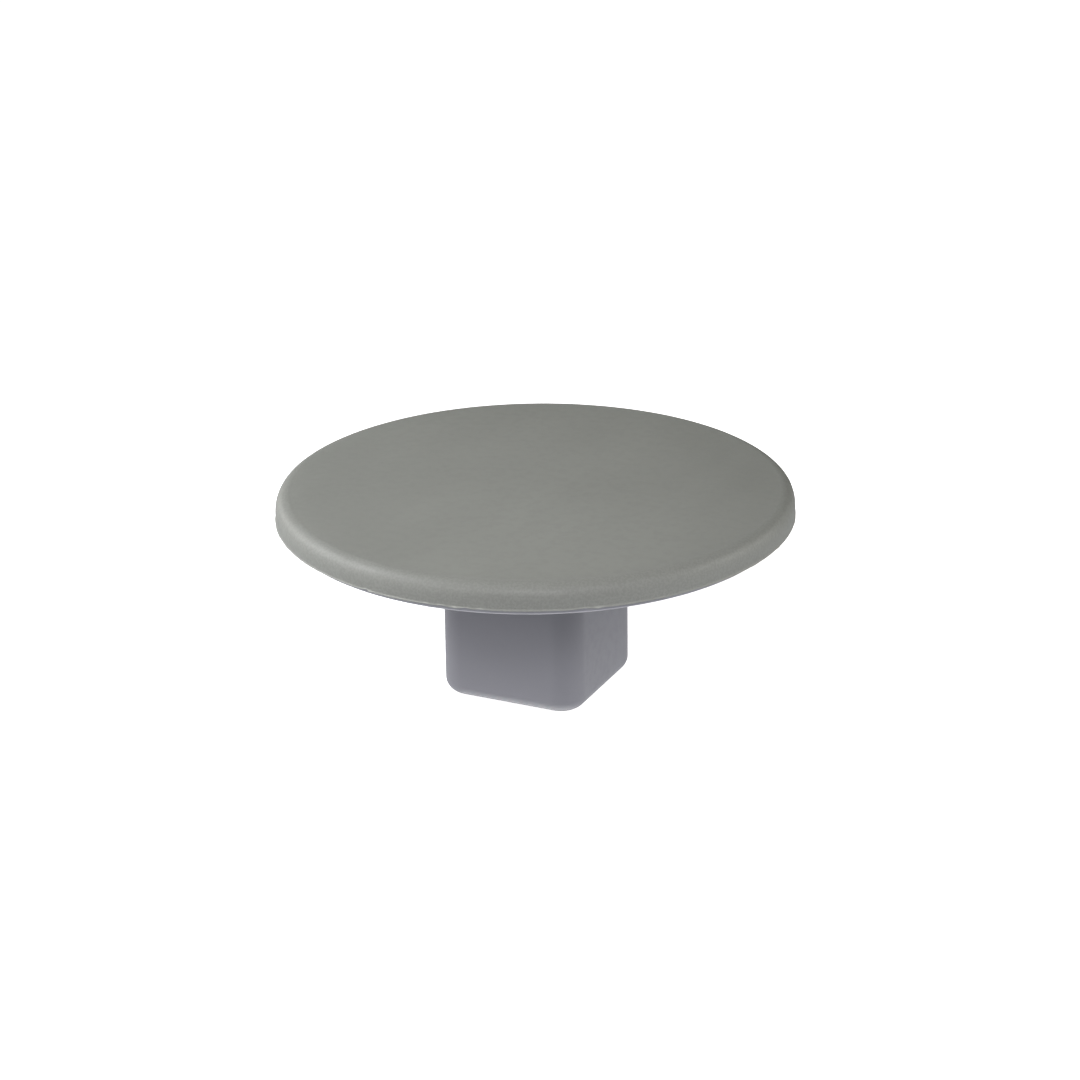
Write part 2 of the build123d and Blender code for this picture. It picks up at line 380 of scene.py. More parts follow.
@dataclass
class Graph:
    """A material's node graph with a Principled shader, and short ways to add to it."""

    name: str
    material: bpy.types.Material = field(init=False)
    shader: bpy.types.Node = field(init=False)

    def __post_init__(self) -> None:
        """Makes the material and finds its shader."""
        self.material = bpy.data.materials.new(self.name)
        self.material.use_nodes = True
        self.shader = self.material.node_tree.nodes["Principled BSDF"]
        self.coordinates = self.add("ShaderNodeTexCoord")

    def add(self, kind: str, feeds: Feeds | None = None, **settings: object) -> bpy.types.Node:
        """Adds a node.

        Args:
            kind: The node's type.
            feeds: What its inputs get, as in feed.
            settings: Its own settings, by name.

        Returns:
            The node.
        """
        node = self.material.node_tree.nodes.new(kind)
        for key, value in settings.items():
            setattr(node, key, value)
        self.feed(node, feeds or {})
        return node

    def feed(self, node: bpy.types.Node, feeds: Feeds) -> None:
        """Links sockets to a node's inputs, or sets the inputs to plain values.

        Args:
            node: The node.
            feeds: Sockets and plain values, by the input's name or number.
        """
        for key, value in feeds.items():
            if isinstance(value, Socket):
                self.material.node_tree.links.new(value, node.inputs[key])
            else:
                node.inputs[key].default_value = value

    def stretched(self, scale: Colour, turn_deg: float = 0.0, source: str = "Object") -> Socket:
        """Gives coordinates that are turned about Z and then scaled along each axis.

        Args:
            scale: Scale along X, Y and Z.
            turn_deg: Turn about Z, in degrees.
            source: Which coordinates to read, Object or UV.

        Returns:
            The mapped coordinates.
        """
        turn = (0.0, 0.0, math.radians(turn_deg))
        feeds = {"Vector": self.coordinates.outputs[source], "Rotation": turn, "Scale": scale}
        return self.add("ShaderNodeMapping", feeds).outputs["Vector"]

    def noise(
        self, size: float, detail: float = 2.0, vector: Socket | None = None, roughness: float = 0.5
    ) -> Socket:
        """Adds fractal noise.

        Args:
            size: Length of its largest feature, in metres, or in the vector's own units.
            detail: How many finer layers it has.
            vector: Coordinates to read, the object's own by default.
            roughness: How strong the finer layers are.

        Returns:
            The noise value, about 0.5 in the middle.
        """
        vector = vector or self.coordinates.outputs["Object"]
        feeds = {"Vector": vector, "Scale": 1.0 / size, "Detail": detail, "Roughness": roughness}
        return self.add("ShaderNodeTexNoise", feeds).outputs["Fac"]

    def cells(self, size: float) -> bpy.types.Node:
        """Adds a Voronoi pattern with cells of a size, in metres, and gives its node."""
        feeds = {"Vector": self.coordinates.outputs["Object"], "Scale": 1.0 / size}
        return self.add("ShaderNodeTexVoronoi", feeds)

    def maths(self, operation: str, *values: object) -> Socket:
        """Adds a maths node on sockets or plain numbers and gives its result."""
        return self.add("ShaderNodeMath", dict(enumerate(values)), operation=operation).outputs[0]

    def blended(self, *parts: tuple[object, float]) -> Socket:
        """Adds up sockets, each times its own weight, and gives the sum."""
        scaled = [part if weight == 1.0 else self.maths("MULTIPLY", part, weight) for part, weight in parts]
        return functools.reduce(lambda total, value: self.maths("ADD", total, value), scaled)

    def marked(self, name: str) -> Socket:
        """Adds a mark that the mesh holds as an attribute and gives its value."""
        return self.add("ShaderNodeAttribute", attribute_name=name, attribute_type="GEOMETRY").outputs["Fac"]

    def between(self, value: object, low: float, high: float, to: Point = (0.0, 1.0)) -> Socket:
        """Maps a value from a range onto the range of two results, smoothly, and holds it there."""
        feeds = {"Value": value, "From Min": low, "From Max": high, "To Min": to[0], "To Max": to[1]}
        return self.add("ShaderNodeMapRange", feeds, interpolation_type="SMOOTHSTEP").outputs["Result"]

    def mixed(self, share: object, first: object, second: object) -> Socket:
        """Mixes two colours by a share and gives the result."""
        ends = [(*colour, 1.0) if isinstance(colour, tuple) else colour for colour in (first, second)]
        feeds = {"Factor": share, MIX_FIRST: ends[0], MIX_SECOND: ends[1]}
        return self.add("ShaderNodeMix", feeds, data_type="RGBA").outputs[MIX_RESULT]

    def finished(
        self, body: object, rough: object, layers: Sequence[tuple[Socket, float]], metallic: float = 0.0
    ) -> bpy.types.Material:
        """Feeds the shader and stacks bump layers on its normal.

        Args:
            body: Its colour.
            rough: Its roughness.
            layers: Height values and their depths in metres, from the coarsest to the finest.
            metallic: How metallic it is.

        Returns:
            The finished material.
        """
        feeds: Feeds = {"Base Color": body, "Roughness": rough, "Metallic": metallic}
        normal: Feeds = {}
        for height, depth in layers:
            bump = self.add("ShaderNodeBump", {"Strength": 1.0, "Distance": depth, "Height": height} | normal)
            normal = {"Normal": bump.outputs["Normal"]}
        self.feed(self.shader, feeds | normal)
        return self.material


def shade(colour: Colour, factor: float) -> Colour:
    """Gives a colour with each part times a factor."""
    return (colour[0] * factor, colour[1] * factor, colour[2] * factor)


@dataclass(frozen=True)
class MouldedPlastic:
    """Satin moulded plastic: cloudy pigment, spark-eroded grain, faint flow lines, scuffs and dust specks."""

    name: str
    colour: Colour
    cloud: float = 0.03  # Strength of the broad pigment clouds, as a share of the colour
    grain_depth: float = 0.012 * MM  # Depth of the mould's fine grain
    mottle_depth: float = 0.018 * MM  # Depth of its coarser unevenness
    roughness: float = 0.44
    wear: float = 1.0  # Strength of the scuffs and specks
    trim_and_highlight: float = 0.0  # Share of lightening on the flash, where the mesh marks it: partly whitened trim, partly a painted highlight where the fin catches light
    etched: float = 0.0  # Share of the fine grain left outside the etched shoulder, or 0 for no mark
    matt: float = 0.12  # How much rougher the etched shoulder is
    salt: float = 0.075  # Strength of the light and dark grains on it, as a share of the colour
    rim: float = 0.0  # Radius from which the edge is painted pale, as painted light caught from below, or 0 for none

    def material(self) -> bpy.types.Material:
        """Makes the material."""
        graph = Graph(self.name)
        clouds = graph.noise(60.0 * MM, 3.0)
        streaks = graph.noise(16.0 * MM, 2.0, graph.stretched((1.0, 0.22, 1.0), 32.0))
        mottle = graph.noise(4.5 * MM, 3.0, roughness=0.6)
        grain = graph.noise(1.7 * MM, 2.0, roughness=0.7)
        tone = graph.between(graph.blended((clouds, 0.5), (streaks, 0.25), (mottle, 0.25)), 0.36, 0.64)
        scuff, specks = self.scuffs(graph), self.specks(graph)
        body = self.varied(graph, tone, self.cloud)
        for spots, share, tint in ((scuff, 0.16, 1.4), (specks, 0.75, 0.45)):
            share = graph.maths("MULTIPLY", spots, share * self.wear)
            body = graph.mixed(share, body, shade(self.colour, tint))
        rough = graph.between(graph.blended((mottle, 1.0), (scuff, 0.3)), 0.3, 0.8)
        rough = graph.between(rough, 0.0, 1.0, (self.roughness - 0.06, self.roughness + 0.08))
        if self.etched:
            etching = graph.marked("etched")
            grain = graph.maths("MULTIPLY", grain, graph.between(etching, 0.0, 1.0, (self.etched, 1.0)))
            salted = self.varied(graph, graph.between(graph.noise(1.1 * MM, 1.0), 0.40, 0.60), self.salt)
            body = graph.mixed(graph.maths("MULTIPLY", etching, 0.6), body, salted)
            rough = graph.blended((rough, 1.0), (etching, self.matt))
        # Painted highlight: the marked flash and its nicks are lightened, partly for the whitened trim and
        # partly for the light that the fin's upper face catches.
        if self.trim_and_highlight:
            share = graph.maths("MULTIPLY", graph.marked("trim_and_highlight"), self.trim_and_highlight)
            body = graph.mixed(share, body, shade(self.colour, 1.7))
        # Painted light: beyond the rim radius the colour turns much paler, standing in for light that the
        # base's lip catches from below.
        if self.rim:
            plan = graph.stretched((1.0, 1.0, 0.0))
            reach = graph.add("ShaderNodeVectorMath", {0: plan}, operation="LENGTH")
            share = graph.between(reach.outputs["Value"], self.rim, self.rim + 0.4 * MM, (0.0, 0.8))
            body = graph.mixed(share, body, shade(self.colour, 1.9))
        graph.feed(graph.shader, {"IOR": 1.49})
        layers = [(clouds, 0.10 * MM), (mottle, self.mottle_depth), (grain, self.grain_depth)]
        return graph.finished(body, rough, layers)

    def varied(self, graph: Graph, share: Socket, strength: float) -> Socket:
        """Mixes the colour darkened and lightened by a strength."""
        return graph.mixed(share, shade(self.colour, 1.0 - strength), shade(self.colour, 1.0 + strength))

    def scuffs(self, graph: Graph) -> Socket:
        """Adds sparse hair scratches: the thin middle band of strongly stretched noise, in patches."""
        fine = graph.noise(1.6 * MM, 0.0, graph.stretched((1.0, 0.03, 0.3), -24.0))
        cross = graph.noise(1.8 * MM, 0.0, graph.stretched((1.0, 0.035, 0.3), 51.0))
        patches = graph.between(graph.noise(45.0 * MM, 1.0), 0.60, 0.70)
        lines = graph.maths("MAXIMUM", graph.between(fine, 0.76, 0.80), graph.between(cross, 0.77, 0.81))
        return graph.maths("MULTIPLY", lines, patches)

    def specks(self, graph: Graph) -> Socket:
        """Adds a few dust specks: the hearts of those cells whose random value is high."""
        cell = graph.cells(11.0 * MM)
        heart = graph.between(cell.outputs["Distance"], 0.05, 0.028)
        chosen = graph.between(cell.outputs["Color"], 0.80, 0.82)
        return graph.maths("MULTIPLY", heart, chosen)


@dataclass(frozen=True)
class BareMetal:
    """Bare metal with a fine worked surface, slight staining and, on turned pieces, rings about the axis."""

    name: str
    colour: Colour
    stain: Colour  # Of the dull patches
    roughness: float = 0.32
    patch: float = 4.0 * MM  # Length of a dull patch
    turned: bool = False  # Whether the piece's UV map carries turning rings

    def material(self) -> bpy.types.Material:
        """Makes the material."""
        graph = Graph(self.name)
        patches = graph.noise(self.patch, 4.0, roughness=0.6)
        body = graph.mixed(graph.between(patches, 0.42, 0.68), self.colour, self.stain)
        rough = graph.between(patches, 0.3, 0.7, (self.roughness - 0.08, self.roughness + 0.14))
        layers = [(patches, 0.01 * MM)]
        if self.turned:
            layers.append((graph.noise(0.12, 1.0, graph.stretched((0.4, 1.0, 1.0), source="UV")), 0.006 * MM))
        layers.append((graph.noise(0.4 * MM, 1.0), 0.003 * MM))
        return graph.finished(body, rough, layers, metallic=1.0)


@dataclass(frozen=True)
class Spangle:
    """Hot-dip galvanised steel: flat crystal patches, each with its own grey and gloss."""

    name: str
    dark: Colour  # Of the dullest crystals
    light: Colour  # Of the brightest
    crystal: float = 6.0 * MM  # Size of a crystal

    def material(self) -> bpy.types.Material:
        """Makes the material."""
        graph = Graph(self.name)
        cell = graph.cells(self.crystal)
        pick = graph.between(cell.outputs["Color"], 0.1, 0.9)
        rough = graph.between(pick, 0.0, 1.0, (0.52, 0.34))
        layers = [(cell.outputs["Distance"], 0.02 * MM), (graph.noise(0.6 * MM, 2.0), 0.004 * MM)]
        return graph.finished(graph.mixed(pick, self.dark, self.light), rough, layers, metallic=1.0)


@dataclass(frozen=True)
class Elastomer:
    """Black rubber or closed-cell foam: dusty bloom on a matt skin, with pores where it is foam, their
    hollows painted darker as painted shade.
    """

    name: str
    colour: Colour
    bloom: Colour  # Of the dust on it
    pore: float = 0.0  # Size of a pore, or 0 for a plain skin

    def material(self) -> bpy.types.Material:
        """Makes the material."""
        graph = Graph(self.name)
        dust = graph.noise(7.0 * MM, 4.0, roughness=0.65)
        body = graph.mixed(graph.between(dust, 0.40, 0.72), self.colour, self.bloom)
        layers = [(dust, 0.03 * MM), (graph.noise(0.5 * MM, 2.0), 0.008 * MM)]
        if self.pore:
            cell = graph.cells(self.pore)
            rim = graph.between(cell.outputs["Distance"], 0.10, 0.55)
            # Painted shade: the pore hollows are painted darker than the skin.
            body = graph.mixed(rim, shade(self.colour, 0.4), body)
            layers.append((rim, 0.12 * MM))
        return graph.finished(body, graph.between(dust, 0.3, 0.7, (0.72, 0.9)), layers)


# The cap's flash lightening is partly whitened trim and partly a painted highlight.
CAP_GREY = MouldedPlastic(
    "cap_grey", colour=(0.262, 0.268, 0.247), grain_depth=0.14 * MM, trim_and_highlight=0.45, etched=0.08
)
BASE_GREY = MouldedPlastic("base_grey", colour=(0.251, 0.251, 0.275), cloud=0.02)
PLUG_GREY = replace(BASE_GREY, name="plug_grey", mottle_depth=0.008 * MM, wear=0.4)
SCREW_STEEL = BareMetal("screw_steel", colour=(0.62, 0.61, 0.59), stain=(0.42, 0.41, 0.39), turned=True)
INSERT_BRASS = BareMetal("insert_brass", colour=(0.78, 0.57, 0.26), stain=(0.50, 0.34, 0.15), roughness=0.28)
FRAME_ZINC = Spangle("frame_zinc", dark=(0.36, 0.37, 0.38), light=(0.62, 0.63, 0.65))
SEAL_RUBBER = Elastomer("seal_rubber", colour=(0.018, 0.018, 0.019), bloom=(0.06, 0.06, 0.062))
GASKET_FOAM = Elastomer(
    "gasket_foam", colour=(0.026, 0.026, 0.028), bloom=(0.075, 0.074, 0.072), pore=1.1 * MM
)


# --- Pieces ---


@dataclass(frozen=True)
class Nick:
    """A place where the cap's flash was torn or left long in trimming. Its lengths are in millimetres."""

    angle: float  # In degrees from +X
    width: float  # Half its width, in degrees
    lift: float  # How far the flash's lower edge rises there; below zero it hangs
    proud: float  # How much further the flash stands out there


@dataclass
class CoverCap:
    """The top moulding: a crowned disc with a full soft shoulder, an upright side and a ragged flash line."""

    flash_proud: float = 0.4 * MM  # How far the flash reaches beyond the side
    flash_height: float = 0.70 * MM
    crown: float = 0.6 * MM  # How much higher the disc's middle is than its flat edge
    height: float = 11.6 * MM  # From the flash's lower edge to the flat edge of the top
    shoulder_width: float = 7.2 * MM
    shoulder_height: float = 8.0 * MM
    fullness: float = 0.67  # How square the shoulder is, as in soft_corner
    wall: float = 3.0 * MM
    hollow: float = 2.0 * MM  # Radius of the round edge inside the shell
    middle: float = 0.04  # Share of the radius where a fan closes the disc's middle
    ripple: float = 0.035 * MM  # Unevenness of the shoulder, as moulded
    segments: int = 1080
    nicks: tuple[Nick, ...] = (
        *(Nick(-102.8, 0.55, 0.55, -0.10), Nick(-101.7, 0.50, -0.10, 0.15), Nick(-87.9, 0.55, 0.45, 0.12)),
        *(Nick(-84.6, 0.75, 0.60, 0.10), Nick(-81.6, 0.60, -0.05, 0.15), Nick(-79.4, 0.85, 0.55, 0.08)),
        *(Nick(-76.2, 0.60, 0.20, 0.12), Nick(-54.5, 0.90, 0.50, 0.05), Nick(-51.6, 0.80, -0.06, 0.14)),
        *(Nick(38.0, 0.70, 0.40, 0.05), Nick(121.0, 0.90, 0.30, 0.10), Nick(203.0, 0.60, 0.36, -0.05)),
    )

    def __post_init__(self) -> None:
        """Reads the disc's radius and levels from the frame."""
        _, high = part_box("cover_cap")
        self.radius = high.x - self.flash_proud
        self.top = high.z - self.crown
        self.edge = self.top - self.height
        self.ceiling = self.top - self.wall
        self.inner = self.radius - self.wall

    def outer_profile(self) -> np.ndarray:
        """Gives the profile from the middle of the top to the foot of the side.

        The crown falls as the square of the radius, the shoulder is a cubic curve and the side is upright.

        Returns:
            Radii and heights, as steps by 2.
        """
        flat = self.radius - self.shoulder_width
        radii = flat * np.linspace(self.middle, 1.0, 14)[:-1]
        crown = np.stack([radii, self.top + self.crown * (1.0 - (radii / flat) ** 2)], axis=-1)
        shoulder_foot = (self.radius, self.top - self.shoulder_height)
        shoulder = soft_corner((flat, self.top), shoulder_foot, self.fullness, 26)
        side = np.linspace(shoulder_foot, (self.radius, self.edge + self.flash_height), 6)[1:]
        return np.concatenate([crown, shoulder, side])

    def inner_profile(self) -> np.ndarray:
        """Gives the profile up the wall, round the hollow edge and to the middle of the ceiling."""
        low, high = self.edge + MM, self.ceiling - self.hollow
        wall = np.linspace((self.inner, low), (self.inner, high), 3)
        hollow = arc((self.inner - self.hollow, high), self.hollow, 0.0, 90.0, 7)[1:]
        ends = (self.inner - self.hollow - MM, self.ceiling), (self.radius * self.middle, self.ceiling)
        return np.concatenate([wall, hollow, np.linspace(*ends, 8)])

    def flash(self, angles: np.ndarray) -> tuple[np.ndarray, np.ndarray, np.ndarray]:
        """Gives the flash's reach, the rise of its lower edge and the nicks' shares round the disc.

        The first two are seeded waves of many lengths, with a bell added at each nick.

        Args:
            angles: Angles in radians.

        Returns:
            Reach beyond the side and rise above the edge level, in metres, and the sum of the bells.
        """
        reach = self.flash_proud * (0.55 + 0.13 * periodic_noise(angles, (5, 9, 14, 23, 41, 67), 11))
        rise = 0.07 * MM * (1.0 + 0.8 * periodic_noise(angles, (7, 13, 29, 53, 97, 151), 12))
        chips = np.zeros_like(angles)
        for nick in self.nicks:
            shape = bell(angles, nick.angle, nick.width)
            reach = reach + nick.proud * MM * shape
            rise = rise + nick.lift * MM * shape
            chips = chips + shape
        reach = np.clip(reach, 0.05 * MM, self.flash_proud)
        return reach, np.clip(rise, 0.0, 0.9 * self.flash_height), chips

    def shell_grid(self) -> tuple[np.ndarray, dict[str, np.ndarray]]:
        """Gives the whole shell's grid and its marks: the flash, lightened partly as whitened trim and partly
        as a painted highlight, and the etched shoulder.

        Returns:
            Places, as steps by angles by 3, and the marks' shares by name, as steps by angles.
        """
        angles = turn_angles(self.segments)
        reach, rise, chips = self.flash(angles)
        outer = self.outer_profile()
        lumps = self.ripple * periodic_noise(angles, (3, 5, 8, 13, 21, 34), 5)
        weight = smooth_step((outer[:, 0] - (self.radius - 2.0 * self.shoulder_width)) / self.shoulder_width)
        outer = spread(outer, angles)
        outer[..., 0] -= np.abs(lumps) * weight[:, None]
        lip = [
            np.stack([self.radius + out * reach, self.edge + rise + up * (self.flash_height - rise)], axis=-1)
            for out, up in ((0.35, 0.75), (0.80, 0.55), (1.0, 0.30), (0.92, 0.0))
        ]
        under = spread(np.array([(self.inner, self.edge)]), angles)
        profile = np.concatenate([outer, lip, under, spread(self.inner_profile(), angles)])
        # Lightening of the flash and the nicks: partly whitened trim, partly a painted highlight.
        trim_and_highlight = np.zeros(profile.shape[:2])
        first = len(outer)
        trim_and_highlight[first - 1] = 0.3 + 1.5 * chips
        trim_and_highlight[first : first + len(lip)] = 0.5 + 1.5 * chips
        etched = smooth_step((profile[..., 0] - self.radius + 1.25 * self.shoulder_width) / (4.0 * MM))
        return revolved(profile, angles), {"trim_and_highlight": trim_and_highlight, "etched": etched}

    def build(self) -> None:
        """Makes, marks, dresses and settles the cap's shell."""
        grid, marks = self.shell_grid()
        piece = formed("cap_shell", [grid], sharp_deg=50.0)
        for name, shares in marks.items():
            layer = piece.data.attributes.new(name, "FLOAT", "POINT")
            layer.data.foreach_set("value", np.append(shares.ravel(), [0.0, 0.0]).astype(np.float32))
        settle(piece, Slot.CAP, CAP_GREY.material(), "cover_cap")


def bar_grid(start: Point, end: Point, half: float, low: float, top: float) -> np.ndarray:
    """Gives the grid of an upright straight web with a rounded lower edge.

    The section runs over the top, down one side, round the foot on two arcs and up the other side. It is set
    at both ends of the web's centre line, square to it.

    Args:
        start: Plan place where the web begins.
        end: Plan place where it ends.
        half: Half its thickness.
        low: Level of its lower edge.
        top: Level of its upper edge.

    Returns:
        Places, as 2 by columns by 3.
    """
    foot = 0.5 * half
    right = arc((half - foot, low + foot), foot, 0.0, -90.0, 4)
    section = np.concatenate([[[-half, top], [half, top]], right, right[::-1] * [-1.0, 1.0]])
    line = np.subtract(end, start)
    across = np.array([-line[1], line[0]]) / np.linalg.norm(line)
    plan = np.array([start, end])[:, None, :] + section[None, :, :1] * across
    heights = np.broadcast_to(section[None, :, 1:], (2, len(section), 1))
    return np.concatenate([plan, heights], axis=-1)


def tube_profile(inner: float, outer: float, low: float, top: float, edge: float) -> np.ndarray:
    """Gives a ring's closed section with rounded edges.

    Four quarter arcs follow one another from the upper inner edge, over the top and round the outside.

    Args:
        inner: Inner radius.
        outer: Outer radius.
        low: Lower level.
        top: Upper level.
        edge: Radius of the rounded edges.

    Returns:
        Radii and heights, as steps by 2.
    """
    left, right, down, up = inner + edge, outer - edge, low + edge, top - edge
    corners = ((left, up, 180.0), (right, up, 90.0), (right, down, 0.0), (left, down, -90.0))
    return np.concatenate([arc((x, z), edge, start, start - 90.0, 4) for x, z, start in corners])


@dataclass
class CapRibs:
    """The webs under the cap's ceiling: a ring, spokes, bars that reach into the plug's mouth and bosses."""

    ceiling: float
    thickness: float = 2.2 * MM
    spokes: int = 8
    ring_radius: float = 68.7 * MM  # Inside the ring
    spoke_reach: float = 109.5 * MM  # Where a spoke's full height ends
    skirt: float = 117.4 * MM  # Where its shallow end meets the skirt
    spigot_top: float = 9.4 * MM  # Lower edge of the shallow end
    bars: int = 3  # Each way
    bar_half: float = 31.0 * MM  # Half a bar's length
    bar_reach: float = 4.5 * MM  # How far the bars reach below the disc
    bosses: int = 8
    boss_turn: float = 22.5  # The first boss's angle, in degrees
    boss_circle: float = 98.0 * MM  # Radius of the circle that the bosses stand on
    boss_radius: float = 5.6 * MM
    bore_radius: float = 3.2 * MM

    def __post_init__(self) -> None:
        """Reads the level of the base plate's top, where the webs end, from the frame."""
        self.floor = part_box("clamp_frame")[0].z - 3.0 * MM
        self.half = 0.5 * self.thickness
        self.boss_places = circle_places(self.bosses, self.boss_circle, self.boss_turn)

    def spoke_grids(self) -> list[np.ndarray]:
        """Gives the deep and the shallow part of every spoke."""
        grids = []
        for start, end, low in (
            (self.ring_radius + self.half, self.spoke_reach, self.floor),
            (self.spoke_reach, self.skirt, self.spigot_top),
        ):
            lines = zip(circle_places(self.spokes, start, 0.0), circle_places(self.spokes, end, 0.0))
            grids += [bar_grid(*line, self.half, low, self.ceiling) for line in lines]
        return grids

    def bar_grids(self) -> list[np.ndarray]:
        """Gives the bars that cross both ways in the plug's mouth."""
        offsets = (np.arange(self.bars) - (self.bars - 1) / 2.0) * (2.0 * self.bar_half / self.bars)
        grids = []
        for offset in offsets.tolist():
            along = ((-self.bar_half, offset), (self.bar_half, offset))
            across = ((offset, -self.bar_half), (offset, self.bar_half))
            grids += [bar_grid(*ends, self.half, -self.bar_reach, self.ceiling) for ends in (along, across)]
        return grids

    def build(self) -> None:
        """Makes, dresses and settles the four kinds of web."""
        finish = MouldedPlastic("rib_grey", CAP_GREY.colour, wear=0.0).material()
        levels = self.floor, self.ceiling
        ring = tube_profile(self.ring_radius, self.ring_radius + self.thickness, *levels, 0.3 * self.half)
        boss = tube_profile(self.bore_radius, self.boss_radius, *levels, 0.3 * MM)
        bosses = at_places(revolved(boss, turn_angles(64)), self.boss_places)
        for piece in (
            formed("cap_ring", [revolved(ring, turn_angles(256))], Ends.LOOP),
            formed("cap_spokes", self.spoke_grids()),
            formed("cap_bars", self.bar_grids()),
            formed("cap_bosses", bosses, Ends.LOOP),
        ):
            settle(piece, Slot.CAP, finish)


@dataclass
class ScrewSet:
    """One set of like countersunk screws with a hexagon socket and a rolled thread."""

    node: str  # The CAD node that the set stands for
    places: Places
    radius: float = 2.5 * MM  # Over the thread
    head_radius: float = 4.6 * MM
    head_height: float = 2.4 * MM
    head_edge: float = 0.12 * MM
    hex_width: float = 3.0 * MM  # Across the socket's flats
    hex_depth: float = 1.8 * MM
    tip: float = 0.6 * MM  # Chamfer at the tip
    pitch: float = 0.8 * MM
    thread_depth: float = 0.35 * MM
    gap: float = 0.25 * MM  # Room round a screw in its hole
    segments: int = 48

    def __post_init__(self) -> None:
        """Reads the screws' lowest and highest level from the frame."""
        low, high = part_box(self.node)
        self.face, self.top = low.z, high.z

    def shank(self, angles: np.ndarray) -> np.ndarray:
        """Gives the threaded shank from the tip down to the head's cone.

        The radius loses the thread depth times how far the place is from the nearest crest of a helix, and
        the thread fades out at both ends.

        Args:
            angles: Angles in radians.

        Returns:
            Radii and heights, as steps by angles by 2.
        """
        start, end = self.top - self.tip, self.face + self.head_height + 0.3 * MM
        levels = np.linspace(start, end, int((start - end) / self.pitch * 6.0))[:, None]
        phase = (levels / self.pitch - angles / FULL_TURN) % 1.0
        fade = smooth_step((start - levels) / self.pitch) * smooth_step((levels - end) / self.pitch)
        radii = self.radius - self.thread_depth * np.abs(2.0 * phase - 1.0) * fade
        return np.stack([radii, levels + np.zeros_like(angles)], axis=-1)

    def grid(self) -> np.ndarray:
        """Gives one screw on the Z axis.

        The socket's radius is half its width over the cosine of the angle from the nearest flat's middle.

        Returns:
            Places, as steps by angles by 3.
        """
        angles = turn_angles(self.segments)
        side = math.pi / 6.0
        hexagon = 0.5 * self.hex_width / np.cos((angles + side) % (2.0 * side) - side)
        tip = [(CORE, self.top), (self.radius - self.tip, self.top)]
        head = [(self.radius, self.face + self.head_height), (self.head_radius, self.face + self.head_edge)]
        head += [(self.head_radius - self.head_edge, self.face), (self.hex_width * 0.72, self.face)]
        bottom = self.face + self.hex_depth
        levels = ((1.0, self.face + 0.25 * MM), (1.0, bottom), (0.2, bottom))
        socket = [np.stack([hexagon * share, np.full_like(hexagon, z)], axis=-1) for share, z in levels]
        ends = (spread(np.array(part), angles) for part in (tip, head))
        return revolved(np.concatenate([next(ends), self.shank(angles), next(ends), socket]), angles)

    def build(self, finish: bpy.types.Material) -> None:
        """Makes, dresses and settles the set in the CAD node's place."""
        piece = formed(f"{self.node}_turned", at_places(self.grid(), self.places))
        settle(piece, Slot.SCREW, finish, self.node)


